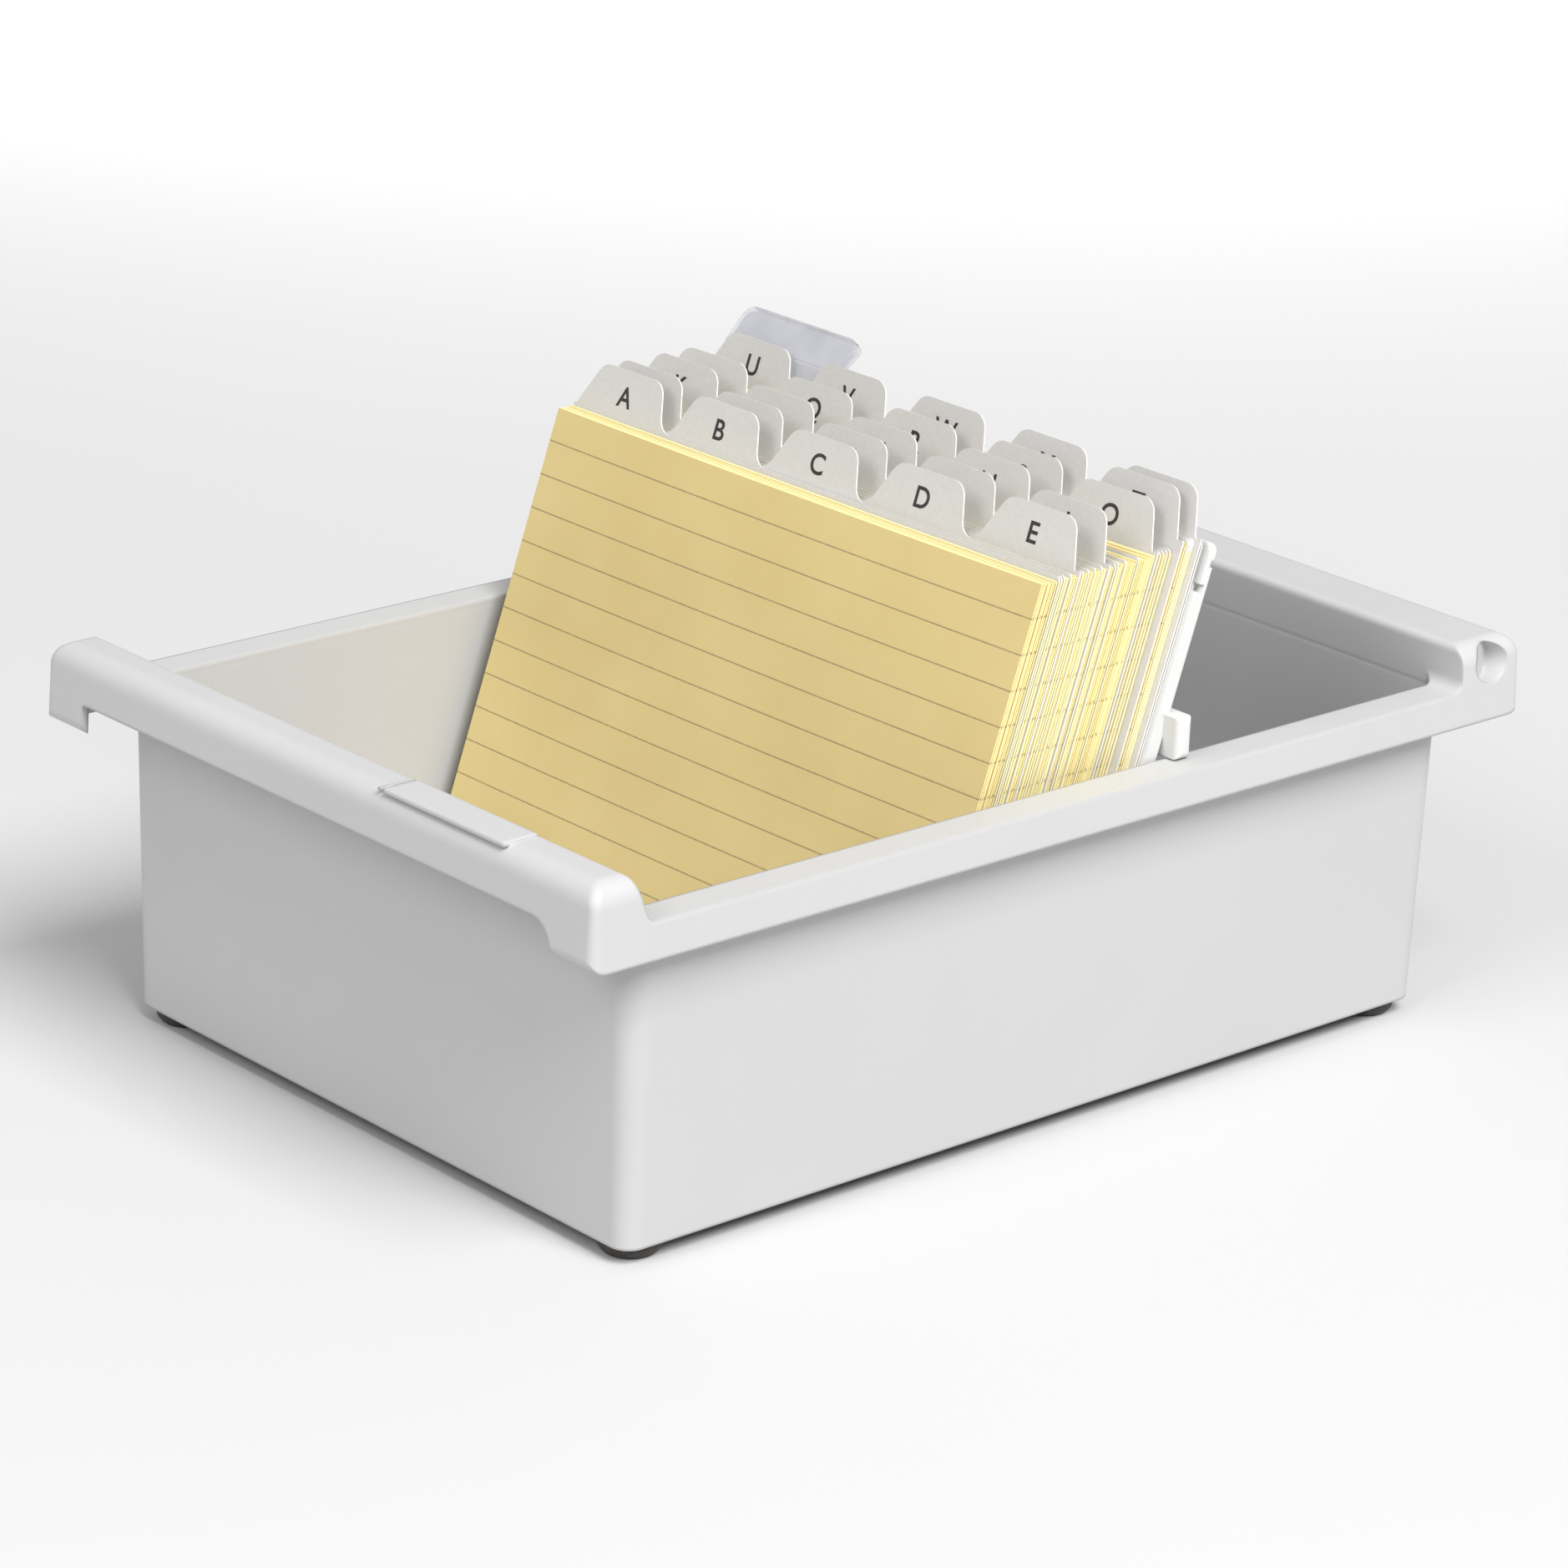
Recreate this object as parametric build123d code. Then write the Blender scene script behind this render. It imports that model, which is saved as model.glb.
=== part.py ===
"""Index card drawer: an open moulded tray with leaning index cards, A to Z guide
cards, a sliding support plate and a clear clip-on rider.

Millimetres, +Z up. The origin is on the surface that the tray stands on, under
the middle of the tray. -Y is the front, with the wide grip; the cards lean
back, towards +Y.
"""
import os
from math import atan2, cos, radians, sin, tan

from build123d import *

# ---------------------------------------------------------------- tray
CARD_WIDTH = 148.0         # A6 landscape, the cards that the tray is made for
CARD_HEIGHT = 105.0
CARD_SIDE_ROOM = 3.5       # between the cards and the tub wall, at the wall's lower edge
WALL = 1.6                 # tub wall
TUB_LENGTH = 219.8         # outside the walls, at their lower edge
TUB_WIDTH = CARD_WIDTH + 2 * (CARD_SIDE_ROOM + WALL)
BAR_OVERHANG = 17.0        # lip's lower edge beyond the tub, front and rear
RIM_OVERHANG = 8.2         # the same at the sides
TRAY_LENGTH = TUB_LENGTH + 2 * BAR_OVERHANG
TRAY_WIDTH = TUB_WIDTH + 2 * RIM_OVERHANG
SMALL_R = 0.3              # corners that read as sharp
WALL_DRAFT = 1.2           # degrees, walls lean outward going up
TUB_CORNER_R = 4.2         # upright outer corners of the tub
RIM_HEIGHT = 70.8          # side rim top above the tub's lower edge
BAR_HEIGHT = 80.4          # front and rear bar top above the tub's lower edge
LIP_HEIGHT = 63.1          # lower edge of the turned-down lip
LIP_WALL = 1.8             # wall of the lip, rims and bars
LIP_DRAFT = 2.5            # degrees, the lip leans outward going down
LIP_CORNER_R = 2.2         # upright corners of the lip
LIP_FOOT_R = 3.5           # its lower corners, seen from the side
FRONT_BAR_DEPTH = 9.8      # top of the front bar, front to back
FRONT_BAR_FLARE = 19.5     # degrees, its inner face leans outward going up
REAR_BAR_DEPTH = 17.6
REAR_BAR_FLARE = 0.0
BAR_END_R = 4.6            # rounded left and right ends of the bars
BAR_EDGE_R = 1.6           # long edges of the bars
BAR_FOOT_R = 2.6           # hollow rounding where a bar drops to the side rim
GRIP_WIDTH = 149.0         # cut-out of the front lip, between its two skirts
GRIP_HEIGHT = 70.0         # lower edge of the front lip over the cut-out
GRIP_LEFT_R = 1.2          # upper left corner of the cut-out
GRIP_RIGHT_R = 5.5         # upper right corner of the cut-out
FLOOR_TOP = 12.5           # floor above the tub's lower edge
FLOOR_THICKNESS = 2.0
RIB_THICKNESS = 1.4        # stiffening ribs under the floor
RIB_DEPTH = 2.6
RIBS_LENGTHWAYS = 3
RIBS_CROSSWAYS = 5

# raised bare plate on the front bar, and the socket in the rear bar's right end
PLATE_X = (22.8, 59.0)     # left and right end of the raised plate
PLATE_DEPTH = 8.4
PLATE_RAISE = 0.5
PLATE_EDGE_R = 0.3
STROKE_WIDTH = 0.7         # short raised line beside the plate
STROKE_GAP = 0.9
SOCKET_R = 4.3
SOCKET_DEPTH = 3.0
SOCKET_TILT = 24.0         # degrees, the socket runs out towards the front
SOCKET_FROM_BACK = 8.6     # socket centre in front of the bar's back
SOCKET_BELOW_TOP = 4.9

# ---------------------------------------------------------------- feet
FOOT_DROP = 3.5            # the feet stand out this far below the tub
FOOT_R = 6.4
FOOT_INSET = 7.6           # foot centre in from the tub's lower edges
FOOT_PLUG = 2.4            # depth of the plug in its socket
FOOT_FIT = 0.1             # clearance round the plug
FOOT_EDGE_R = 2.2
BOSS_WALL = 1.2

# ---------------------------------------------------------------- cards
CARD_LEAN = 18.6           # degrees back from upright
FRONT_CARD_Y = -37.1       # foot of the front card
GAP = 0.12                 # between neighbours in the row, along Y
SEAT = 0.15                # between the cards' lower edges and the floor
PACK_MIN = 0.15            # thinnest edge of a pack between two guides
FRONT_BOW = 0.7            # the front card bows forward in its middle
FRONT_FAN = 0.7            # its right edge stands this much further back than its left edge

# ---------------------------------------------------------------- guide cards
GUIDE_THICKNESS = 0.35
TABS_PER_ROW = 5
GUIDE_ABOVE_CARDS = 0.5
TAB_HEIGHT = 10.0          # above the guide's own top edge
TAB_TOP_LEFT = 8.8         # the tab's top reaches this far left of its column's middle
TAB_TOP_RIGHT = 10.0
TAB_LEFT_SLANT = 28.0      # degrees from upright
TAB_RIGHT_SLANT = 17.0
TAB_CORNER_R = 3.8
TAB_FOOT_R = 3.6           # hollow rounding where a tab rises from the guide
TAB_OUTER_FOOT_R = 0.3     # the same at the guide's own corner
GUIDE_CORNER_R = 1.2
# foot of each guide behind the front card's foot, at its left and right edge
GUIDE_PLACES = {
    "a": (4.2, 5.2), "b": (4.8, 5.8), "c": (5.4, 6.5), "d": (6.3, 8.4), "e": (7.6, 10.6),
    "f": (9.3, 11.6), "g": (11.0, 13.2), "h": (12.8, 15.0), "i": (14.7, 16.9), "j": (16.6, 18.8),
    "k": (19.4, 20.6), "l": (19.95, 21.3), "m": (20.9, 23.4), "n": (22.6, 27.0), "o": (25.0, 32.2),
    "p": (26.8, 33.1), "q": (29.6, 34.0), "r": (31.4, 34.9), "s": (33.3, 35.8), "t": (35.0, 36.7),
    "u": (37.8, 38.3), "v": (38.35, 38.8), "w": (38.9, 39.3), "x": (39.45, 39.8), "yz": (40.0, 40.3),
}
SHIFT_FROM_T = 1.7         # the rear cards stand this much to the right
SHIFT_FROM_YZ = 3.1
BACK_CARD_PLACE = 41.0     # last card, which carries the rider

# ---------------------------------------------------------------- support plate
SUPPORT_PLACE = 41.5       # its front behind the front card's foot
SUPPORT_ABOVE_CARDS = 2.2
SUPPORT_HEIGHT = CARD_HEIGHT + SUPPORT_ABOVE_CARDS
SUPPORT_BEND_R = 10.0      # where its sides turn from the tub wall's lean to upright
SUPPORT_SIDE_GAP = 0.9     # to the tub wall
SUPPORT_CORNER_R = 2.0
PANEL_THICKNESS = 1.8
FLANGE_DEPTH = 3.4         # side and top flanges behind the panel, panel included
FLANGE_WIDTH = 1.8
RELIEF_HEIGHT = 10.2       # the panel's front is set back along its top
RELIEF_DEPTH = 1.1
SLOT_HEIGHT = 1.6          # slot in each side flange at the relief's lower edge
SLOT_DEPTH = 2.4
NOTCH_DEPTH = 0.8          # small notch in the back of each side flange
NOTCH_FROM_TOP = 3.4
NOTCH_HEIGHT = 1.4
LUG_REACH = 4.4            # beyond the panel, over the side rim
LUG_ROOT = 8.0             # inward from the panel's edge
LUG_DEPTH = 4.0
LUG_HEIGHT = 8.8
LUG_GAP = 0.3              # above the side rim
LUG_SET_BACK = 2.0         # lug front behind the panel front at the lug's top
LUG_EDGE_R = 1.4
STIFFENER_THICKNESS = 1.6  # two upright gussets behind the panel
STIFFENER_SPAN = 84.0
STIFFENER_HEIGHT = 62.0
BASE_DEPTH = 15.0          # sole of the support behind the panel, on the floor
BASE_THICKNESS = 1.8       # the rear cards, from T on, stand on the sole's front part
BASE_WIDTH = 124.0
BASE_GAP = 0.1             # above the floor

# ---------------------------------------------------------------- rider
RIDER_WIDTH = 36.0
RIDER_X = -52.4            # middle of the rider
RIDER_SHEET = 0.26         # clear folded sheet
RIDER_GRIP = 9.0           # how far it reaches down the card
RIDER_NECK = 7.2           # part along the lean above the card
RIDER_WINDOW = 8.8         # slanting window
RIDER_BEND = 25.0          # degrees, window behind the card's lean
RIDER_FIT = 0.1            # clearance to the card on each side
RIDER_CORNER_R = 3.0
RIDER_FOLD = 1.5           # the rear film stands this much further back at the fold
INSERT_THICKNESS = 0.3
INSERT_SIDE = 0.7          # clear sheet beside the insert
INSERT_END = 0.7           # clear sheet beyond the insert at both ends

os.makedirs("parts", exist_ok=True)

# ---------------------------------------------------------------- shared places
BASE_Z = FOOT_DROP                       # tub's lower edge
FLOOR_Z = BASE_Z + FLOOR_TOP
RIM_Z = BASE_Z + RIM_HEIGHT
BAR_Z = BASE_Z + BAR_HEIGHT
LIP_Z = BASE_Z + LIP_HEIGHT
GRIP_Z = BASE_Z + GRIP_HEIGHT
LIP_TOP_HALF_Y = TRAY_LENGTH / 2 - (BAR_Z - LIP_Z) * tan(radians(LIP_DRAFT))
LEAN_SIN = sin(radians(CARD_LEAN))
LEAN_COS = cos(radians(CARD_LEAN))
UP_THE_LEAN = (0, LEAN_SIN, LEAN_COS)
BACK_NORMAL = (0, LEAN_COS, -LEAN_SIN)   # square to the cards, towards the rear
GUIDE_ALONG_Y = GUIDE_THICKNESS / LEAN_COS
GUIDE_HEIGHT = CARD_HEIGHT + GUIDE_ABOVE_CARDS
REAR_RAISE = BASE_GAP + BASE_THICKNESS   # rear cards' feet above the front cards' feet
BEYOND = 5.0                             # cutters run past what they cut


def save(shape, name):
    export_step(shape, f"parts/{name}.step")


def tub_inner_half(length, z):
    """Half the clear inside of the tub at height z, from its outer size at the foot."""
    return length / 2 - WALL + (z - BASE_Z) * tan(radians(WALL_DRAFT))


def drafted_block(length_x, length_y, corner_r, low_z, high_z, draft):
    """Upright block with rounded corners whose sides lean by draft degrees."""
    outline = Plane.XY.offset(low_z) * RectangleRounded(length_x, length_y, corner_r)
    return extrude(outline, amount=high_z - low_z, taper=draft)


def across(points, radii, half_width):
    """Solid across the width whose Y-Z section is the rounded polygon."""
    line = FilletPolyline(*[(0, y, z) for y, z in points], radius=radii, close=True)
    return extrude(make_face(line), amount=half_width, dir=(1, 0, 0), both=True)


# ================================================================ tray
def bar_inner_y(depth, flare, inset, z):
    """Distance from the middle of a bar's inner face at height z, moved into the bar by inset."""
    at_top = LIP_TOP_HALF_Y - depth + inset / cos(radians(flare))
    return at_top - (BAR_Z - z) * tan(radians(flare))


def rim_envelope(inset, low_z):
    """Bars and side rims as one solid, all its faces moved inward by inset."""
    grow = (LIP_Z - low_z) * tan(radians(LIP_DRAFT)) - inset
    block = drafted_block(
        TRAY_WIDTH + 2 * grow,
        TRAY_LENGTH + 2 * grow,
        LIP_CORNER_R - inset,
        low_z,
        BAR_Z - inset,
        LIP_DRAFT,
    )
    ends = block.faces().sort_by(Axis.Z)[-1].edges().filter_by(Axis.Y)
    block = fillet(ends, BAR_END_R - inset)
    far_y = TRAY_LENGTH / 2 - inset
    high_z = BAR_Z - inset
    rim_z = RIM_Z - inset
    foot_z = LIP_Z if low_z >= LIP_Z else low_z - BEYOND
    front = (FRONT_BAR_DEPTH, FRONT_BAR_FLARE, inset)
    rear = (REAR_BAR_DEPTH, REAR_BAR_FLARE, inset)
    points = [
        (-far_y, foot_z),
        (-far_y, high_z),
        (-bar_inner_y(*front, high_z), high_z),
        (-bar_inner_y(*front, rim_z), rim_z),
        (bar_inner_y(*rear, rim_z), rim_z),
        (bar_inner_y(*rear, high_z), high_z),
        (far_y, high_z),
        (far_y, foot_z),
    ]
    edge_r = max(BAR_EDGE_R - inset, SMALL_R)
    foot_r = BAR_FOOT_R + inset
    radii = [LIP_FOOT_R, SMALL_R, edge_r, foot_r, foot_r, edge_r, SMALL_R, LIP_FOOT_R]
    return block & across(points, radii, TRAY_WIDTH)


def grip_cutter():
    """Removes the front lip's lower part between its two corner skirts."""
    half = GRIP_WIDTH / 2
    y = -TRAY_LENGTH / 2 - BEYOND
    points = [(-half, LIP_Z - BEYOND), (-half, GRIP_Z), (half, GRIP_Z), (half, LIP_Z - BEYOND)]
    line = FilletPolyline(
        *[(x, y, z) for x, z in points],
        radius=[SMALL_R, GRIP_LEFT_R, GRIP_RIGHT_R, SMALL_R],
        close=True,
    )
    depth = TRAY_LENGTH / 2 + BEYOND - TUB_LENGTH / 2 - LIP_WALL
    return extrude(make_face(line), amount=depth, dir=(0, 1, 0))


def tub_mouth():
    """Upright walls through the bars' feet, straight up from the tub's inside at the rim."""
    half_x = tub_inner_half(TUB_WIDTH, RIM_Z)
    front_y = -tub_inner_half(TUB_LENGTH, RIM_Z)
    rear_y = bar_inner_y(REAR_BAR_DEPTH, REAR_BAR_FLARE, 0, RIM_Z)
    low_z = RIM_Z - LIP_WALL
    mouth = Pos(0, (front_y + rear_y) / 2, 0) * RectangleRounded(2 * half_x, rear_y - front_y, BAR_FOOT_R)
    return extrude(Plane.XY.offset(low_z) * mouth, amount=BAR_Z + BEYOND - low_z)


def foot_centres():
    for name_y, side_y in (("front", -1), ("rear", 1)):
        for name_x, side_x in (("left", -1), ("right", 1)):
            x = side_x * (TUB_WIDTH / 2 - FOOT_INSET)
            y = side_y * (TUB_LENGTH / 2 - FOOT_INSET)
            yield f"{name_y}_{name_x}", x, y


def floor_ribs():
    """Shallow ribs under the floor, lengthways and crossways."""
    under = FLOOR_Z - FLOOR_THICKNESS
    inside_x = 2 * tub_inner_half(TUB_WIDTH, under)
    inside_y = 2 * tub_inner_half(TUB_LENGTH, under)
    for i in range(RIBS_LENGTHWAYS):
        x = inside_x * ((i + 1) / (RIBS_LENGTHWAYS + 1) - 0.5)
        yield Pos(x, 0, under - RIB_DEPTH / 2) * Box(RIB_THICKNESS, inside_y, RIB_DEPTH)
    for i in range(RIBS_CROSSWAYS):
        y = inside_y * ((i + 1) / (RIBS_CROSSWAYS + 1) - 0.5)
        yield Pos(0, y, under - RIB_DEPTH / 2) * Box(inside_x, RIB_THICKNESS, RIB_DEPTH)


def add_bar_details(shell):
    """Raised plate and line on the front bar, socket in the rear bar's right end."""
    middle_y = -LIP_TOP_HALF_Y + FRONT_BAR_DEPTH / 2
    plate_x = sum(PLATE_X) / 2
    plate = Box(PLATE_X[1] - PLATE_X[0], PLATE_DEPTH, 2 * PLATE_RAISE)
    plate = fillet(plate.faces().sort_by(Axis.Z)[-1].edges(), PLATE_EDGE_R)
    shell += Pos(plate_x, middle_y, BAR_Z) * plate
    stroke_x = PLATE_X[0] - STROKE_GAP - STROKE_WIDTH / 2
    shell += Pos(stroke_x, middle_y, BAR_Z) * Box(STROKE_WIDTH, PLATE_DEPTH, PLATE_RAISE)
    socket_z = BAR_Z - SOCKET_BELOW_TOP
    end_x = TRAY_WIDTH / 2 - (socket_z - LIP_Z) * tan(radians(LIP_DRAFT))
    place = Pos(end_x, LIP_TOP_HALF_Y - SOCKET_FROM_BACK, socket_z) * Rot(0, 0, SOCKET_TILT)
    pad = place * Rot(0, 90, 0) * Cylinder(SOCKET_R + LIP_WALL, 2 * (SOCKET_DEPTH + LIP_WALL))
    shell += pad & rim_envelope(0, LIP_Z)
    shell -= place * Rot(0, 90, 0) * Cylinder(SOCKET_R, 2 * SOCKET_DEPTH)
    return shell


def tray_shell():
    tub = drafted_block(TUB_WIDTH, TUB_LENGTH, TUB_CORNER_R, BASE_Z, RIM_Z - LIP_WALL / 2, -WALL_DRAFT)
    inside = drafted_block(
        TUB_WIDTH - 2 * WALL,
        TUB_LENGTH - 2 * WALL,
        TUB_CORNER_R - WALL,
        BASE_Z,
        RIM_Z + BEYOND,
        -WALL_DRAFT,
    )
    hollow = rim_envelope(LIP_WALL, LIP_Z - BEYOND) - tub
    shell = rim_envelope(0, LIP_Z) + tub - hollow
    rear_y = bar_inner_y(REAR_BAR_DEPTH, REAR_BAR_FLARE, 0, RIM_Z)
    room_y = rear_y + TRAY_LENGTH / 2
    shell -= inside & Pos(0, rear_y - room_y / 2, RIM_Z / 2) * Box(TRAY_WIDTH, room_y, RIM_Z)
    shell -= tub_mouth()
    shell -= grip_cutter()
    level = Pos(0, 0, FLOOR_Z - FLOOR_THICKNESS / 2) * Box(TRAY_WIDTH, TRAY_LENGTH, FLOOR_THICKNESS)
    shell += tub & level
    for rib in floor_ribs():
        shell += rib & tub
    height = FLOOR_Z - FLOOR_THICKNESS - BASE_Z
    for _, x, y in foot_centres():
        boss = Pos(x, y, BASE_Z + height / 2) * Cylinder(FOOT_R + FOOT_FIT + BOSS_WALL, height)
        shell += boss & tub
        shell -= Pos(x, y, BASE_Z + FOOT_PLUG / 2) * Cylinder(FOOT_R + FOOT_FIT, FOOT_PLUG)
    return add_bar_details(shell)


def foot():
    """Domed rubber foot; its plug sits in the socket of a boss."""
    profile = make_face(
        FilletPolyline(
            (0, 0, FOOT_DROP + FOOT_PLUG),
            (FOOT_R, 0, FOOT_DROP + FOOT_PLUG),
            (FOOT_R, 0, 0),
            (0, 0, 0),
            radius=[0, SMALL_R, FOOT_EDGE_R, 0],
            close=True,
        )
    )
    return revolve(profile, Axis.Z)


# ================================================================ cards
def card_line(left, right, shift):
    """Ends of a card's foot line, from its distances behind the front card's foot."""
    half = CARD_WIDTH / 2
    raised = REAR_RAISE if shift else 0
    y = FRONT_CARD_Y + raised * tan(radians(CARD_LEAN))
    z = FLOOR_Z + SEAT + raised
    return (shift - half, y + left, z), (shift + half, y + right, z)


def card_pack(front, back, shift, bow):
    """Stack of cards between two foot lines, drawn out along the lean."""
    front_left, front_right = card_line(*front, shift)
    back_left, back_right = card_line(*back, shift)
    middle = (shift, (front_left[1] + front_right[1]) / 2 - bow, front_left[2])
    nose = ThreePointArc(front_left, middle, front_right) if bow else Line(front_left, front_right)
    outline = [nose, Polyline(front_right, back_right, back_left, front_left)]
    return extrude(make_face(outline), amount=CARD_HEIGHT, dir=UP_THE_LEAN)


def tab_points(tab_x, base):
    """Corners of a tab from its right foot to its left foot, and their radii."""
    top = base + TAB_HEIGHT
    right = tab_x + TAB_TOP_RIGHT
    left = tab_x - TAB_TOP_LEFT
    right_foot = right + TAB_HEIGHT * tan(radians(TAB_RIGHT_SLANT))
    left_foot = left - TAB_HEIGHT * tan(radians(TAB_LEFT_SLANT))
    points = [(right_foot, base), (right, top), (left, top), (left_foot, base)]
    radii = [TAB_FOOT_R, TAB_CORNER_R, TAB_CORNER_R, TAB_FOOT_R]
    if right_foot > CARD_WIDTH / 2 - TAB_FOOT_R:
        radii[0] = TAB_OUTER_FOOT_R
    if left_foot < TAB_FOOT_R - CARD_WIDTH / 2:
        radii[3] = TAB_OUTER_FOOT_R
    return points, radii


def guide_card(left, right, shift, height, tab_x):
    """Thin card of the given height with a tab at tab_x, or without one where tab_x is None."""
    foot_left, foot_right = card_line(left, right, shift)
    fan = atan2(right - left, CARD_WIDTH)
    along = (cos(fan), sin(fan), 0)
    square = Vector(*along).cross(Vector(*UP_THE_LEAN)).normalized()
    skew = sin(fan) * LEAN_SIN
    raise_by = (1 - skew * skew) ** 0.5
    half = CARD_WIDTH / 2
    points = [(-half, 0), (half, 0), (half, height)]
    radii = [GUIDE_CORNER_R] * 3
    left_corner_r = GUIDE_CORNER_R
    if tab_x is not None:
        corners, corner_radii = tab_points(tab_x, height)
        points += corners
        radii += corner_radii
        if corner_radii[0] < TAB_FOOT_R:
            radii[2] = TAB_OUTER_FOOT_R
        if corner_radii[3] < TAB_FOOT_R:
            left_corner_r = TAB_OUTER_FOOT_R / 2
    points += [(-half, height)]
    radii += [left_corner_r]
    middle = (Vector(*foot_left) + Vector(*foot_right)) * 0.5
    middle += Vector(0, 0, GUIDE_THICKNESS * LEAN_SIN)
    sheet = Plane(origin=middle, x_dir=along, z_dir=square)
    line = FilletPolyline(*[(a + b * skew, b * raise_by) for a, b in points], radius=radii, close=True)
    return extrude(sheet * make_face(line), amount=GUIDE_THICKNESS, dir=tuple(square * -1))


def tab_column(index):
    return CARD_WIDTH / TABS_PER_ROW * (index % TABS_PER_ROW - (TABS_PER_ROW - 1) / 2)


def shift_of(name):
    if name == "yz":
        return SHIFT_FROM_YZ
    return SHIFT_FROM_T if name >= "t" else 0.0


# ================================================================ support plate
def support_plane():
    foot = (0, FRONT_CARD_Y + SUPPORT_PLACE, FLOOR_Z + BASE_GAP)
    return Plane(origin=foot, x_dir=(1, 0, 0), z_dir=tuple(-c for c in BACK_NORMAL))


def support_outline(inset, from_v):
    """Panel outline, its sides follow the tub walls up to the rim and then run straight."""
    low = tub_inner_half(TUB_WIDTH, FLOOR_Z) - SUPPORT_SIDE_GAP - inset
    high = tub_inner_half(TUB_WIDTH, RIM_Z) - SUPPORT_SIDE_GAP - inset
    rim_v = (RIM_Z - FLOOR_Z) / LEAN_COS
    top_v = SUPPORT_HEIGHT - inset
    points = [(-low, from_v), (low, from_v), (high, rim_v), (high, top_v), (-high, top_v), (-high, rim_v)]
    sharp = [SMALL_R, SMALL_R]
    radii = [*sharp, SUPPORT_BEND_R, SUPPORT_CORNER_R, SUPPORT_CORNER_R, SUPPORT_BEND_R]
    return make_face(FilletPolyline(*points, radius=radii, close=True))


def front_of_support_y(z):
    return FRONT_CARD_Y + SUPPORT_PLACE + (z - FLOOR_Z - BASE_GAP) * tan(radians(CARD_LEAN))


def support_plate():
    plane = support_plane()
    back = tuple(BACK_NORMAL)
    body = extrude(plane * support_outline(0, 0), amount=FLANGE_DEPTH, dir=back)
    room = plane.offset(-PANEL_THICKNESS) * support_outline(FLANGE_WIDTH, FLANGE_WIDTH)
    body -= extrude(room, amount=FLANGE_DEPTH, dir=back)
    half = tub_inner_half(TUB_WIDTH, RIM_Z) - SUPPORT_SIDE_GAP
    relief = Pos(0, SUPPORT_HEIGHT, 0) * Box(2 * half + BEYOND, 2 * RELIEF_HEIGHT, 2 * RELIEF_DEPTH)
    body -= plane * relief
    notch = Box(4 * FLANGE_WIDTH, NOTCH_HEIGHT, 2 * NOTCH_DEPTH)
    slot = Box(2 * FLANGE_WIDTH, SLOT_HEIGHT, 2 * SLOT_DEPTH)
    for side in (-1, 1):
        notch_v = SUPPORT_HEIGHT - NOTCH_FROM_TOP - NOTCH_HEIGHT / 2
        body -= plane * (Pos(side * half, notch_v, -FLANGE_DEPTH) * notch)
        slot_v = SUPPORT_HEIGHT - RELIEF_HEIGHT + SLOT_HEIGHT / 2
        body -= plane * (Pos(side * half, slot_v, 0) * slot)
    for side in (-1, 1):
        body += side_lug(side * half, side)
        body += gusset(side * STIFFENER_SPAN / 2)
    body += sole()
    keep = Pos(0, 0, FLOOR_Z + BASE_GAP + BAR_Z) * Box(2 * TRAY_WIDTH, TRAY_LENGTH, 2 * BAR_Z)
    return body & keep


def sole():
    """Flat foot on the floor; its front edge follows the foot of guide T and leans like it."""
    half = BASE_WIDTH / 2
    low_z = FLOOR_Z + BASE_GAP
    panel_y = front_of_support_y(low_z) + LEAN_COS
    rear = Pos(0, panel_y + BASE_DEPTH / 2, low_z + BASE_THICKNESS / 2)
    left, right = GUIDE_PLACES["t"]
    fan = (right - left) / CARD_WIDTH
    middle_y = FRONT_CARD_Y + (left + right) / 2 - (SEAT - BASE_GAP) * tan(radians(CARD_LEAN))
    outline = Polyline(
        (-half, middle_y - (half + SHIFT_FROM_T) * fan, low_z),
        (half, middle_y + (half - SHIFT_FROM_T) * fan, low_z),
        (half, panel_y, low_z),
        (-half, panel_y, low_z),
        close=True,
    )
    front = extrude(make_face(outline), amount=BASE_THICKNESS / LEAN_COS, dir=UP_THE_LEAN)
    return front + rear * Box(BASE_WIDTH, BASE_DEPTH, BASE_THICKNESS)


def side_lug(edge_x, side):
    """Upright lug that runs over the side rim, with its root behind the panel."""
    low_z = RIM_Z + LUG_GAP
    front_y = front_of_support_y(low_z + LUG_HEIGHT) + LUG_SET_BACK
    length = LUG_REACH + LUG_ROOT
    lug = Box(length, LUG_DEPTH, LUG_HEIGHT)
    outer = lug.faces().sort_by(Axis.X)[-1].edges()
    lug = Pos(length / 2 - LUG_ROOT, 0, 0) * fillet(outer, LUG_EDGE_R)
    if side < 0:
        lug = mirror(lug, about=Plane.YZ)
    return Pos(edge_x, front_y + LUG_DEPTH / 2, low_z + LUG_HEIGHT / 2) * lug


def gusset(x):
    """Upright triangular stiffener between the panel's back and the sole."""
    low_z = FLOOR_Z + BASE_GAP
    high_z = low_z + STIFFENER_HEIGHT
    face = make_face(
        Polyline(
            (x, front_of_support_y(low_z) + LEAN_COS, low_z),
            (x, front_of_support_y(low_z) + BASE_DEPTH, low_z),
            (x, front_of_support_y(low_z) + BASE_DEPTH, low_z + BASE_THICKNESS),
            (x, front_of_support_y(high_z) + PANEL_THICKNESS, high_z),
            (x, front_of_support_y(high_z) + LEAN_COS, high_z),
            close=True,
        )
    )
    return extrude(face, amount=STIFFENER_THICKNESS / 2, dir=(1, 0, 0), both=True)


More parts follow.
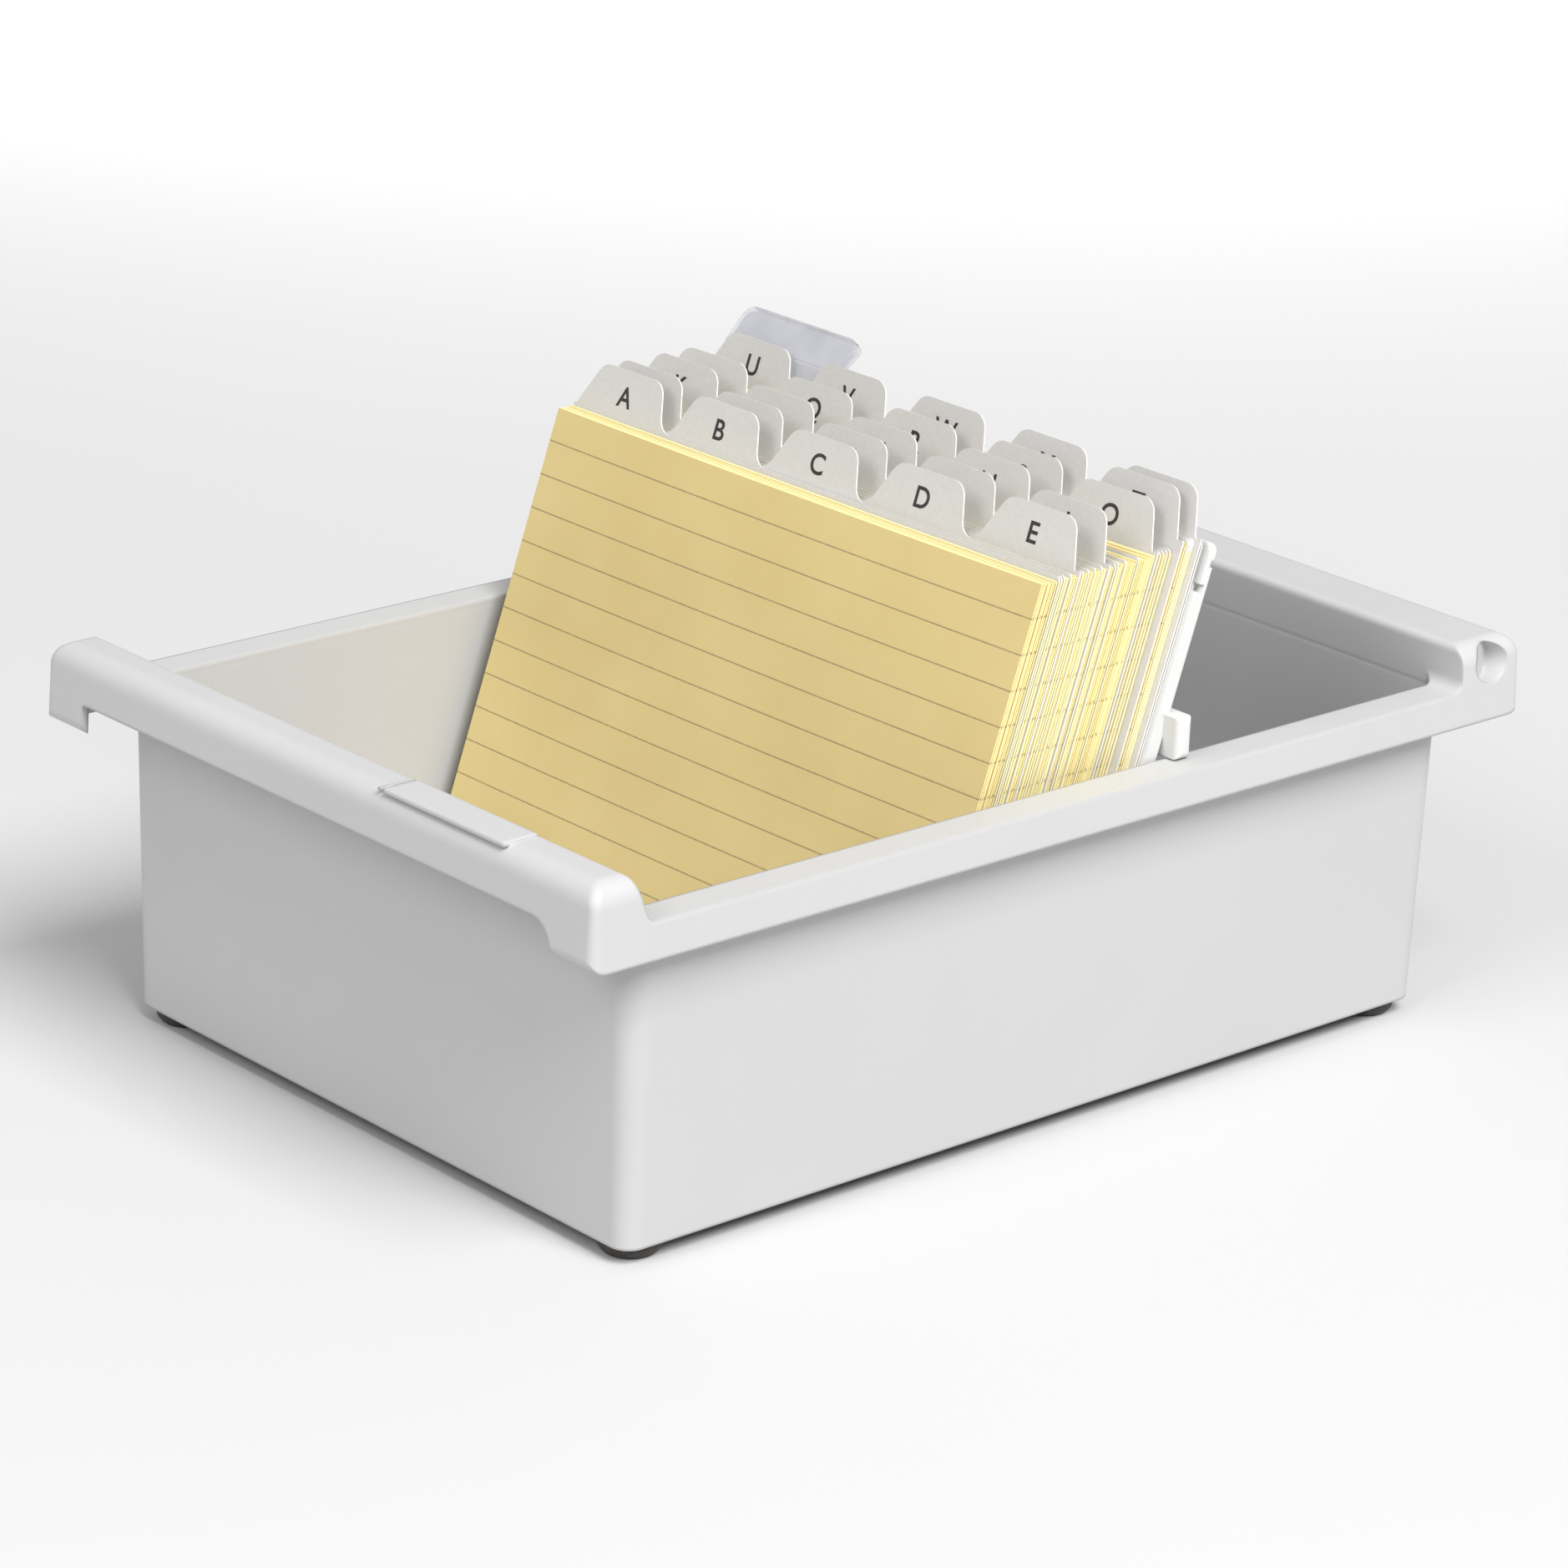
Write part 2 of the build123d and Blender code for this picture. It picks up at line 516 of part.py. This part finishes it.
# ================================================================ rider
def bent_strip(half, from_v, end, fold):
    """Strip of the given half thickness along the rider's neck and window.

    Its rear side stands further back by fold at the window's end.
    """
    bend = radians(RIDER_BEND)
    neck_v = CARD_HEIGHT + RIDER_NECK
    miter = half * tan(bend / 2)
    tip_n = (RIDER_WINDOW + end) * sin(bend)
    tip_v = neck_v + (RIDER_WINDOW + end) * cos(bend)
    side_n = half * cos(bend)
    side_v = half * sin(bend)
    fold_n = fold * cos(bend)
    fold_v = fold * sin(bend)
    return [
        (-half, from_v),
        (half, from_v),
        (half, neck_v - miter),
        (tip_n + side_n + fold_n, tip_v - side_v - fold_v),
        (tip_n - side_n, tip_v + side_v),
        (-half, neck_v + miter),
    ]


def strip_solid(points, width, n_shift):
    """Points are (towards the rear, up the lean), from the foot of the back card's middle."""
    y0 = FRONT_CARD_Y + BACK_CARD_PLACE + REAR_RAISE * tan(radians(CARD_LEAN)) + n_shift
    z0 = FLOOR_Z + SEAT + REAR_RAISE + GUIDE_THICKNESS * LEAN_SIN
    placed = []
    for n, v in points:
        y = y0 + n * LEAN_COS + v * LEAN_SIN
        z = z0 - n * LEAN_SIN + v * LEAN_COS
        placed.append((RIDER_X, y, z))
    face = make_face(Polyline(*placed, close=True))
    return extrude(face, amount=width / 2, dir=(1, 0, 0), both=True)


def round_far_corners(solid, radius):
    """Rounds the two short edges at the far end of the window."""
    ends = [e for e in solid.edges() if e.length < RIDER_WIDTH / 2]
    return fillet(sorted(ends, key=lambda e: e.center().Z)[-2:], radius)


def rider_parts():
    card_half = GUIDE_THICKNESS / 2
    middle = card_half / LEAN_COS
    room = card_half + RIDER_FIT
    grip_v = CARD_HEIGHT - RIDER_GRIP
    outer = bent_strip(room + RIDER_SHEET, grip_v, RIDER_SHEET, RIDER_FOLD)
    outer = strip_solid(outer, RIDER_WIDTH, middle)
    outer = round_far_corners(outer, RIDER_CORNER_R)
    slot = strip_solid(bent_strip(room, grip_v - BEYOND, 0, RIDER_FOLD), RIDER_WIDTH + BEYOND, middle)
    full = bent_strip(INSERT_THICKNESS / 2, CARD_HEIGHT, -INSERT_END, 0)
    bend = radians(RIDER_BEND)
    neck_v = CARD_HEIGHT + RIDER_NECK
    start_n = INSERT_END * sin(bend)
    start_v = neck_v + INSERT_END * cos(bend)
    side_n = INSERT_THICKNESS / 2 * cos(bend)
    side_v = INSERT_THICKNESS / 2 * sin(bend)
    window = [(start_n + side_n, start_v - side_v), full[3], full[4], (start_n - side_n, start_v + side_v)]
    insert = strip_solid(window, RIDER_WIDTH - 2 * INSERT_SIDE, middle)
    insert = round_far_corners(insert, RIDER_CORNER_R - INSERT_SIDE)
    return outer - slot, insert


# ================================================================ write the pieces
def main():
    save(tray_shell(), "tray_shell")
    for name, x, y in foot_centres():
        save(Pos(x, y, 0) * foot(), f"foot_{name}")
    save(support_plate(), "support_plate")
    names = list(GUIDE_PLACES)
    first = GUIDE_PLACES[names[0]]
    front_back = (first[0] - GAP, first[1] - GAP)
    save(card_pack((0, FRONT_FAN), front_back, 0, FRONT_BOW), "pack_front")
    for index, name in enumerate(names):
        left, right = GUIDE_PLACES[name]
        guide = guide_card(left, right, shift_of(name), GUIDE_HEIGHT, tab_column(index))
        save(guide, f"guide_{name}")
        if index + 1 == len(names):
            break
        next_left, next_right = GUIDE_PLACES[names[index + 1]]
        front = (left + GUIDE_ALONG_Y + GAP, right + GUIDE_ALONG_Y + GAP)
        back = (next_left - GAP, next_right - GAP)
        if min(back[0] - front[0], back[1] - front[1]) >= PACK_MIN:
            save(card_pack(front, back, shift_of(name), 0), f"pack_behind_{name}")
    back_card = guide_card(BACK_CARD_PLACE, BACK_CARD_PLACE, SHIFT_FROM_YZ, CARD_HEIGHT, None)
    save(back_card, "card_back")
    sheet, insert = rider_parts()
    save(sheet, "rider_sheet")
    save(insert, "rider_insert")


main()
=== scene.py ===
from math import cos, radians, sin
from random import Random

import bpy
from mathutils import Matrix, Vector


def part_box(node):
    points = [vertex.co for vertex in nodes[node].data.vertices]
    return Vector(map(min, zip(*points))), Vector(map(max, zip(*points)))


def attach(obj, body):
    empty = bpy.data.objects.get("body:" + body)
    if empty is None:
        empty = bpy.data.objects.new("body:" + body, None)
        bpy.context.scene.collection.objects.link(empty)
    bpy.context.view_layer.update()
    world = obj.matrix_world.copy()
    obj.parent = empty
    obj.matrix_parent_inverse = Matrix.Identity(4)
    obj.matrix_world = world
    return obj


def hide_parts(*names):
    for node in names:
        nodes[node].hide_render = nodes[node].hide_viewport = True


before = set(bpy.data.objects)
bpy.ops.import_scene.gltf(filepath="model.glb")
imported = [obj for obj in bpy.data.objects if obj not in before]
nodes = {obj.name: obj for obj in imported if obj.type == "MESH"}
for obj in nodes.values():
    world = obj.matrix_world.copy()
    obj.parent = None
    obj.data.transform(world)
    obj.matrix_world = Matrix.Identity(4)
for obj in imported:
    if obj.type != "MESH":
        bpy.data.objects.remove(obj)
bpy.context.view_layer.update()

# ---------------------------------------------------------------- sizes, in millimetres
MM = 0.001
CARD_LEAN = 18.6           # degrees back from upright
CARD_WIDTH = 148.0
CARD_HEIGHT = 105.0
CARD_FOOT_Z = 16.15
REAR_RAISE = 1.9           # guide T and those behind it stand on the support's sole
REAR_SHIFT_MIN = 0.5       # a card further right than this is one of those
TABS_PER_ROW = 5
GUIDES = list("abcdefghijklmnopqrstuvwx") + ["yz"]
WHITE_EDGED_GUIDES = ["e", "j", "o", "t", "yz"]

RULE_FIRST = 7.25          # first line below the card's top, along the card
RULE_SPACING = 7.39
RULE_WIDTH = 0.31

CARD_PITCH = 0.3           # along Y, card and air
CARD_SHARE = 0.86          # of the pitch that is card
CARD_PLAY = 0.45           # the cards don't stand quite flush
FRONT_BOW = 0.7            # the foremost cards bulge forward in the middle
BOW_STEPS = 12             # flat strips across a bulging card
CARD_SEED = 7

LETTER_CAP = 4.7           # height of the capitals
LETTER_UP = 110.0          # middle of the letter along the card from its foot
LETTER_BOLD = 0.10         # each stroke's edge moved out by this
FONT_CAP_SHARE = 0.73      # capital height of the built-in font at size 1
INK_LIFT = 0.03            # ink in front of the board

SIN = sin(radians(CARD_LEAN))
COS = cos(radians(CARD_LEAN))
CARD_TOP_Z = CARD_FOOT_Z + CARD_HEIGHT * COS
CARD_NORMAL = (0.0, COS, -SIN)
UP_THE_LEAN = Vector((0, SIN, COS))
UPWARD = (0.0, 0.0, 1.0)
FACING_LEAST = 0.75        # a surface this much along the card's normal is its front or back
NEAR = 0.1 * MM            # vertices this close lie on the same edge

# ---------------------------------------------------------------- camera, fitted to the photo
CAMERA_AT = (847.18, -772.24, 469.77)
CAMERA_YAW = 0.8329
CAMERA_PITCH = -0.3499
CAMERA_ROLL = 0.039
CAMERA_LENS = 134.66
CAMERA_SENSOR = 36.0
CAMERA_CLIP = (0.05, 20.0)  # metres

# ---------------------------------------------------------------- studio, in metres and watts
FLOOR_SIZE = 12.0
FLOOR_COLOURS = (0.60, 0.60, 0.60), (0.59, 0.59, 0.59)
WORLD_STRENGTH = 0.45
LIGHTS = (
    # name, place, target, size, power, spread in degrees
    ("key", (2.03, -0.35, 2.45), (0, 0, 0.05), 1.7, 127.0, 180),
    ("front", (0.35, -2.4, 2.0), (0, 0, 0.05), 1.2, 27.0, 180),
    ("backdrop", (-1.15, 1.0, 1.1), (-1.1, 0.95, 0), 0.9, 9.0, 80),
)


def srgb(red, green, blue):
    """Linear colour from display values of 0 to 255."""
    def linear(value):
        value /= 255.0
        return value / 12.92 if value <= 0.04045 else ((value + 0.055) / 1.055) ** 2.4
    return linear(red), linear(green), linear(blue)


RULE_COLOUR = srgb(140, 119, 90)
WHITE_EDGE = srgb(229, 228, 223)
YELLOW_EDGE = srgb(244, 233, 176)


# ---------------------------------------------------------------- material helpers
class Nodes:
    """Short way to wire a procedural material. Noise scales are in cells per metre."""

    def __init__(self, name):
        self.material = bpy.data.materials.new(name)
        self.material.use_nodes = True
        self.tree = self.material.node_tree
        self.shader = self.tree.nodes["Principled BSDF"]

    def add(self, kind, **settings):
        node = self.tree.nodes.new(kind)
        for key, value in settings.items():
            setattr(node, key, value)
        return node

    def link(self, source, target):
        self.tree.links.new(source, target)

    def fill(self, value, socket):
        """A number, a colour or another node's output goes into the socket."""
        if isinstance(value, (int, float)):
            socket.default_value = value
        elif isinstance(value, tuple):
            socket.default_value = (*value, 1.0)
        else:
            self.link(value, socket)

    def set(self, socket_name, value):
        self.fill(value, self.shader.inputs[socket_name])

    def coords(self):
        return self.add("ShaderNodeTexCoord").outputs["Object"]

    def math(self, operation, a, b=None):
        node = self.add("ShaderNodeMath", operation=operation)
        self.fill(a, node.inputs[0])
        if b is not None:
            self.fill(b, node.inputs[1])
        return node.outputs[0]

    def distance(self, a, b):
        return self.math("ABSOLUTE", self.math("SUBTRACT", a, b))

    def dot(self, vector, direction):
        node = self.add("ShaderNodeVectorMath", operation="DOT_PRODUCT")
        self.link(vector, node.inputs[0])
        node.inputs[1].default_value = direction
        return node.outputs["Value"]

    def noise(self, vector, scale, detail=2.0, roughness=0.5):
        node = self.add("ShaderNodeTexNoise")
        node.inputs["Scale"].default_value = scale
        node.inputs["Detail"].default_value = detail
        node.inputs["Roughness"].default_value = roughness
        self.link(vector, node.inputs["Vector"])
        return node.outputs["Fac"]

    def stripes(self, value, scale, detail):
        """Noise that varies along one direction only."""
        node = self.add("ShaderNodeTexNoise", noise_dimensions="1D")
        node.inputs["Scale"].default_value = scale
        node.inputs["Detail"].default_value = detail
        self.link(value, node.inputs["W"])
        return node.outputs["Fac"]

    def ramp(self, value, low, high, to_low=0.0, to_high=1.0):
        node = self.add("ShaderNodeMapRange")
        self.link(value, node.inputs["Value"])
        node.inputs["From Min"].default_value = low
        node.inputs["From Max"].default_value = high
        node.inputs["To Min"].default_value = to_low
        node.inputs["To Max"].default_value = to_high
        return node.outputs["Result"]

    def mix(self, factor, a, b):
        node = self.add("ShaderNodeMix", data_type="RGBA")
        self.fill(factor, node.inputs[0])
        self.fill(a, node.inputs[6])
        self.fill(b, node.inputs[7])
        return node.outputs[2]

    def mix_numbers(self, factor, a, b):
        node = self.add("ShaderNodeMix", data_type="FLOAT")
        self.fill(factor, node.inputs[0])
        self.fill(a, node.inputs[2])
        self.fill(b, node.inputs[3])
        return node.outputs[0]

    def bump(self, height, strength, distance, edge_radius=0.0):
        """Surface relief; an edge radius also softens the look of sharp edges."""
        node = self.add("ShaderNodeBump")
        node.inputs["Strength"].default_value = strength
        node.inputs["Distance"].default_value = distance
        self.link(height, node.inputs["Height"])
        if edge_radius:
            edge = self.add("ShaderNodeBevel", samples=6)
            edge.inputs["Radius"].default_value = edge_radius
            self.link(edge.outputs["Normal"], node.inputs["Normal"])
        self.set("Normal", node.outputs["Normal"])

    def faces_card_front(self):
        """1 on a card's front and back, 0 on its cut edges."""
        normal = self.add("ShaderNodeNewGeometry").outputs["True Normal"]
        along_normal = self.math("ABSOLUTE", self.dot(normal, CARD_NORMAL))
        return self.math("GREATER_THAN", along_normal, FACING_LEAST)


# ---------------------------------------------------------------- materials
def moulded_plastic(name, colour, darker, roughness, edge_radius):
    m = Nodes(name)
    at = m.coords()
    cloud = m.noise(at, scale=14.0, detail=3.0)
    m.set("Base Color", m.mix(m.ramp(cloud, 0.35, 0.7), colour, darker))
    patches = m.noise(at, scale=90.0, detail=3.0)
    m.set("Roughness", m.ramp(patches, 0.3, 0.7, roughness - 0.04, roughness + 0.05))
    grain = m.noise(at, scale=2600.0, detail=2.0, roughness=0.6)
    m.bump(grain, strength=0.10, distance=0.06 * MM, edge_radius=edge_radius)
    return m.material


def rubber():
    m = Nodes("foot_rubber")
    at = m.coords()
    dust = m.ramp(m.noise(at, scale=300.0, detail=4.0, roughness=0.7), 0.5, 0.8)
    m.set("Base Color", m.mix(dust, srgb(52, 48, 45), srgb(78, 74, 70)))
    m.set("Roughness", 0.62)
    m.bump(m.noise(at, scale=1800.0, detail=3.0, roughness=0.6), strength=0.25, distance=0.1 * MM)
    return m.material


def ruled_strength(m, at, facing, single):
    """How strongly the ruled lines show: full lines on the faces, short ticks on the cut edges."""
    spacing = RULE_SPACING * COS * MM
    start = (CARD_TOP_Z - RULE_FIRST * COS) * MM
    half = RULE_WIDTH / 2 / RULE_SPACING
    steps = m.math("DIVIDE", m.math("SUBTRACT", start, m.dot(at, UPWARD)), spacing)
    nearest = m.math("ROUND", steps)
    below_first = m.math("GREATER_THAN", steps, -0.4)

    line = m.ramp(m.distance(steps, nearest), half * 1.3, half * 0.7)
    line = m.math("MULTIPLY", line, below_first)
    wear = m.ramp(m.noise(at, scale=1400.0, detail=3.0, roughness=0.7), 0.25, 0.6, 0.45, 0.85)

    jitter = m.ramp(single, 0.3, 0.7, -0.05, 0.05)
    tick_at = m.distance(m.math("ADD", steps, jitter), nearest)
    tick_wear = m.ramp(single, 0.47, 0.52, 0.0, 0.5)
    tick = m.math("MULTIPLY", m.ramp(tick_at, half * 2.4, half * 1.4), tick_wear)
    tick = m.math("MULTIPLY", tick, below_first)
    return m.mix_numbers(facing, tick, m.math("MULTIPLY", line, wear))


def card_paper(name, face, shade, edge, edge_painted_shade, ruled):
    """Card stock. The cut edges are coloured lighter than the faces, partly the stock's own edge
    colour and partly painted light; darker stripes of painted shade, where shade falls between
    single cards and small groups of them, tell them apart on the cut edges.
    """
    m = Nodes(name)
    at = m.coords()
    facing = m.faces_card_front()
    fibres = m.noise(at, scale=900.0, detail=5.0, roughness=0.65)
    cloud = m.noise(at, scale=35.0, detail=3.0)
    sheet = m.mix(m.ramp(cloud, 0.3, 0.75), face, shade)
    sheet = m.mix(m.ramp(fibres, 0.35, 0.8, 0.0, 0.22), sheet, shade)
    through = m.dot(at, CARD_NORMAL)
    single = m.stripes(through, scale=1500.0, detail=1.0)
    group = m.stripes(through, scale=420.0, detail=2.0)
    # cut edges: darker stripes of painted shade between single cards and small groups of them
    cut = m.mix(m.ramp(single, 0.36, 0.62), edge_painted_shade, edge)
    cut = m.mix(m.ramp(group, 0.3, 0.62, 0.75, 0.0), cut, edge)
    colour = m.mix(facing, cut, sheet)
    if ruled:
        colour = m.mix(ruled_strength(m, at, facing, single), colour, RULE_COLOUR)
    m.set("Base Color", colour)
    m.set("Roughness", 0.78)
    m.set("Specular IOR Level", 0.3)
    m.bump(fibres, strength=0.18, distance=0.08 * MM)
    return m.material


def guide_board(name, edge_among_cards):
    """Guide card stock; the tabs' cut edges are white, those lower down as given."""
    m = Nodes(name)
    at = m.coords()
    fibres = m.noise(at, scale=1100.0, detail=5.0, roughness=0.65)
    sheet = m.mix(m.ramp(fibres, 0.3, 0.75), srgb(200, 198, 195), srgb(192, 190, 187))
    among_cards = m.math("LESS_THAN", m.dot(at, UPWARD), CARD_TOP_Z * MM)
    cut = m.mix(among_cards, WHITE_EDGE, edge_among_cards)
    m.set("Base Color", m.mix(m.faces_card_front(), cut, sheet))
    m.set("Roughness", 0.66)
    m.bump(fibres, strength=0.12, distance=0.06 * MM)
    return m.material


def ink():
    m = Nodes("printed_ink")
    speckle = m.noise(m.coords(), scale=2500.0, detail=3.0)
    m.set("Base Color", m.mix(m.ramp(speckle, 0.4, 0.8), srgb(44, 38, 38), srgb(66, 58, 56)))
    m.set("Roughness", 0.6)
    return m.material


def clear_film():
    m = Nodes("rider_clear_film")
    smudge = m.noise(m.coords(), scale=160.0, detail=3.0)
    m.set("Base Color", m.mix(m.ramp(smudge, 0.4, 0.7), srgb(196, 197, 203), srgb(182, 183, 190)))
    m.set("Roughness", m.ramp(smudge, 0.3, 0.7, 0.08, 0.16))
    rim = m.add("ShaderNodeLayerWeight")
    rim.inputs["Blend"].default_value = 0.30
    m.set("Alpha", m.ramp(rim.outputs["Facing"], 0.0, 1.0, 0.18, 0.9))
    m.set("IOR", 1.5)
    return m.material


def label_paper():
    m = Nodes("rider_label_paper")
    fibres = m.noise(m.coords(), scale=1300.0, detail=4.0, roughness=0.6)
    m.set("Base Color", m.mix(m.ramp(fibres, 0.3, 0.7), srgb(210, 209, 214), srgb(203, 202, 207)))
    m.set("Roughness", 0.6)
    m.bump(fibres, strength=0.1, distance=0.05 * MM)
    return m.material


tray_plastic = moulded_plastic(
    "tray_plastic",
    colour=srgb(189, 189, 189),
    darker=srgb(186, 186, 187),
    roughness=0.42,
    edge_radius=1.1 * MM,
)
plate_plastic = moulded_plastic(
    "plate_plastic",
    colour=srgb(212, 212, 211),
    darker=srgb(208, 208, 207),
    roughness=0.40,
    edge_radius=0.5 * MM,
)
card_yellow = card_paper(
    "card_yellow",
    face=srgb(213, 193, 136),
    shade=srgb(205, 184, 126),
    # cut edges lighter than the face, partly painted light; the darker edge colour is painted
    # shade for the stripes between cards
    edge=srgb(245, 237, 176),
    edge_painted_shade=srgb(232, 212, 150),
    ruled=True,
)
card_plain = card_paper(
    "card_back_board",
    face=srgb(202, 200, 196),
    shade=srgb(194, 192, 188),
    edge=srgb(222, 221, 216),
    edge_painted_shade=srgb(214, 212, 207),
    ruled=False,
)
foot_rubber = rubber()
board_white_edged = guide_board("guide_board", WHITE_EDGE)
board_yellow_edged = guide_board("guide_board_among_cards", YELLOW_EDGE)
letters_ink = ink()
whole_nodes = {
    "tray_shell": tray_plastic,
    "support_plate": plate_plastic,
    "card_back": card_plain,
    "rider_sheet": clear_film(),
    "rider_insert": label_paper(),
}


def material_of(name):
    if name in whole_nodes:
        return whole_nodes[name]
    if name.startswith("foot_"):
        return foot_rubber
    if name.startswith("pack_"):
        return card_yellow
    if name.removeprefix("guide_") in WHITE_EDGED_GUIDES:
        return board_white_edged
    return board_yellow_edged


for name, node in nodes.items():
    node.data.materials.clear()
    node.data.materials.append(material_of(name))


# ---------------------------------------------------------------- single cards in the packs
def limits(values):
    values = list(values)
    return min(values), max(values)


def blend(a, b, share):
    return a * (1 - share) + b * share


def loose_cards(name, chance):
    """Single thin cards in place of a pack, inside the pack's own outline."""
    points = [v.co for v in nodes[name].data.vertices]
    low_z = min(v.z for v in points)
    foot = [v for v in points if v.z < low_z + NEAR]
    left_x, right_x = limits(v.x for v in foot)
    left_front, left_back = limits(v.y for v in foot if v.x < left_x + NEAR)
    right_front, right_back = limits(v.y for v in foot if v.x > right_x - NEAR)
    bow, steps = (FRONT_BOW * MM, BOW_STEPS) if name == "pack_front" else (0.0, 1)
    thickness = max(left_back - left_front, right_back - right_front)
    count = max(1, round(thickness / MM / CARD_PITCH))
    vertices = []
    faces = []
    for index in range(count):
        play = chance.uniform(0, CARD_PLAY) * MM
        tall = (CARD_HEIGHT - chance.uniform(0, CARD_PLAY)) * MM
        front = index / count
        back = (index + CARD_SHARE) / count
        first = len(vertices)
        for step in range(steps + 1):
            x = left_x + play + (right_x - left_x - CARD_PLAY * MM) * (step / steps)
            along = (x - left_x) / (right_x - left_x)
            front_y = blend(left_front, right_front, along) - bow * (1 - (2 * along - 1) ** 2)
            back_y = blend(left_back, right_back, along)
            for depth in (front, back):
                at = Vector((x, front_y + (back_y - front_y) * depth, low_z))
                vertices += [at, at + UP_THE_LEAN * tall]
        last = first + 4 * steps
        for a in range(first, last, 4):
            b = a + 4
            faces.append((a, b, b + 1, a + 1))
            faces.append((b + 2, a + 2, a + 3, b + 3))
            faces.append((a + 1, b + 1, b + 3, a + 3))
            faces.append((b, a, a + 2, b + 2))
        faces.append((first, first + 1, first + 3, first + 2))
        faces.append((last + 1, last, last + 2, last + 3))
    mesh = bpy.data.meshes.new(name.replace("pack", "cards"))
    mesh.from_pydata(vertices, [], faces)
    mesh.materials.append(card_yellow)
    cards = bpy.data.objects.new(mesh.name, mesh)
    bpy.context.scene.collection.objects.link(cards)
    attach(cards, "front_cards" if name == "pack_front" else name)
    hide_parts(name)


chance = Random(CARD_SEED)
for name in sorted(n for n in nodes if n.startswith("pack_")):
    loose_cards(name, chance)


# ---------------------------------------------------------------- index letters
def front_face(name):
    """Point and outward normal of a guide card's front face."""
    forward_faces = [p for p in nodes[name].data.polygons if p.normal.y < -0.7]
    widest = max(forward_faces, key=lambda polygon: polygon.area)
    return widest.center.copy(), widest.normal.normalized()


def letter_mesh(name, text):
    """Flat letters as a mesh, centred on the origin in the XY plane."""
    curve = bpy.data.curves.new(name, "FONT")
    curve.body = text
    curve.align_x = "CENTER"
    curve.align_y = "CENTER"
    curve.size = (LETTER_CAP - 2 * LETTER_BOLD) / FONT_CAP_SHARE * MM
    curve.offset = LETTER_BOLD * MM
    curve.fill_mode = "FRONT"
    holder = bpy.data.objects.new("letter_curve", curve)
    bpy.context.scene.collection.objects.link(holder)
    bpy.context.view_layer.update()
    finished = holder.evaluated_get(bpy.context.evaluated_depsgraph_get())
    mesh = bpy.data.meshes.new_from_object(finished)
    bpy.data.objects.remove(holder)
    middle_x = sum(limits(v.co.x for v in mesh.vertices)) / 2
    middle_y = sum(limits(v.co.y for v in mesh.vertices)) / 2
    mesh.transform(Matrix.Translation((-middle_x, -middle_y, 0)))
    return mesh


def letter_on(guide, text, column):
    """Prints the text on the middle of the guide's tab."""
    point, normal = front_face(guide)
    low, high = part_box(guide)
    shift = (low.x + high.x) / 2
    x = shift + CARD_WIDTH / TABS_PER_ROW * (column - (TABS_PER_ROW - 1) / 2) * MM
    raised = REAR_RAISE if shift > REAR_SHIFT_MIN * MM else 0
    z = (CARD_FOOT_Z + raised + LETTER_UP * COS) * MM
    y = point.y - (normal.x * (x - point.x) + normal.z * (z - point.z)) / normal.y
    right = Vector(UPWARD).cross(normal).normalized()
    up = normal.cross(right).normalized()
    place = Matrix((right, up, normal)).transposed().to_4x4()
    place.translation = Vector((x, y, z)) + normal * INK_LIFT * MM
    name = guide.replace("guide", "letter")
    mesh = letter_mesh(name, text)
    mesh.transform(place)
    mesh.materials.clear()
    mesh.materials.append(letters_ink)
    letter = bpy.data.objects.new(name, mesh)
    bpy.context.scene.collection.objects.link(letter)
    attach(letter, guide)


for index, letter in enumerate(GUIDES):
    letter_on("guide_" + letter, letter.upper(), index % TABS_PER_ROW)

# ---------------------------------------------------------------- camera
level = Vector((-sin(CAMERA_YAW), cos(CAMERA_YAW), 0))
forward = level * cos(CAMERA_PITCH) + Vector(UPWARD) * sin(CAMERA_PITCH)
side = Vector((cos(CAMERA_YAW), sin(CAMERA_YAW), 0))
above = side.cross(forward)
camera_x = side * cos(CAMERA_ROLL) + above * sin(CAMERA_ROLL)
camera_y = above * cos(CAMERA_ROLL) - side * sin(CAMERA_ROLL)
camera_data = bpy.data.cameras.new("camera")
camera_data.lens = CAMERA_LENS
camera_data.sensor_width = CAMERA_SENSOR
camera_data.sensor_fit = "HORIZONTAL"
camera_data.clip_start, camera_data.clip_end = CAMERA_CLIP
camera = bpy.data.objects.new("camera", camera_data)
camera.matrix_world = Matrix((camera_x, camera_y, -forward)).transposed().to_4x4()
camera.location = Vector(CAMERA_AT) * MM
bpy.context.scene.collection.objects.link(camera)
bpy.context.scene.camera = camera

# ---------------------------------------------------------------- floor and light
bpy.ops.mesh.primitive_plane_add(size=FLOOR_SIZE, location=(0, 0, 0))
floor = bpy.context.object
floor.name = "floor"
pale = Nodes("pale_floor")
clouds = pale.ramp(pale.noise(pale.coords(), scale=3.0), 0.3, 0.7)
pale.set("Base Color", pale.mix(clouds, *FLOOR_COLOURS))
pale.set("Roughness", 0.9)
pale.set("Specular IOR Level", 0.1)
floor.data.materials.append(pale.material)


def area_light(name, at, target, size, power, spread):
    data = bpy.data.lights.new(name, "AREA")
    data.shape = "SQUARE"
    data.size = size
    data.energy = power
    data.spread = radians(spread)
    light = bpy.data.objects.new(name, data)
    light.location = at
    light.rotation_euler = (Vector(target) - Vector(at)).to_track_quat("-Z", "Y").to_euler()
    bpy.context.scene.collection.objects.link(light)


for settings in LIGHTS:
    area_light(*settings)

world = bpy.data.worlds.new("studio")
world.use_nodes = True
background = world.node_tree.nodes["Background"]
background.inputs["Color"].default_value = (1.0, 1.0, 1.0, 1.0)
background.inputs["Strength"].default_value = WORLD_STRENGTH
bpy.context.scene.world = world
bpy.context.scene.view_settings.view_transform = "Standard"
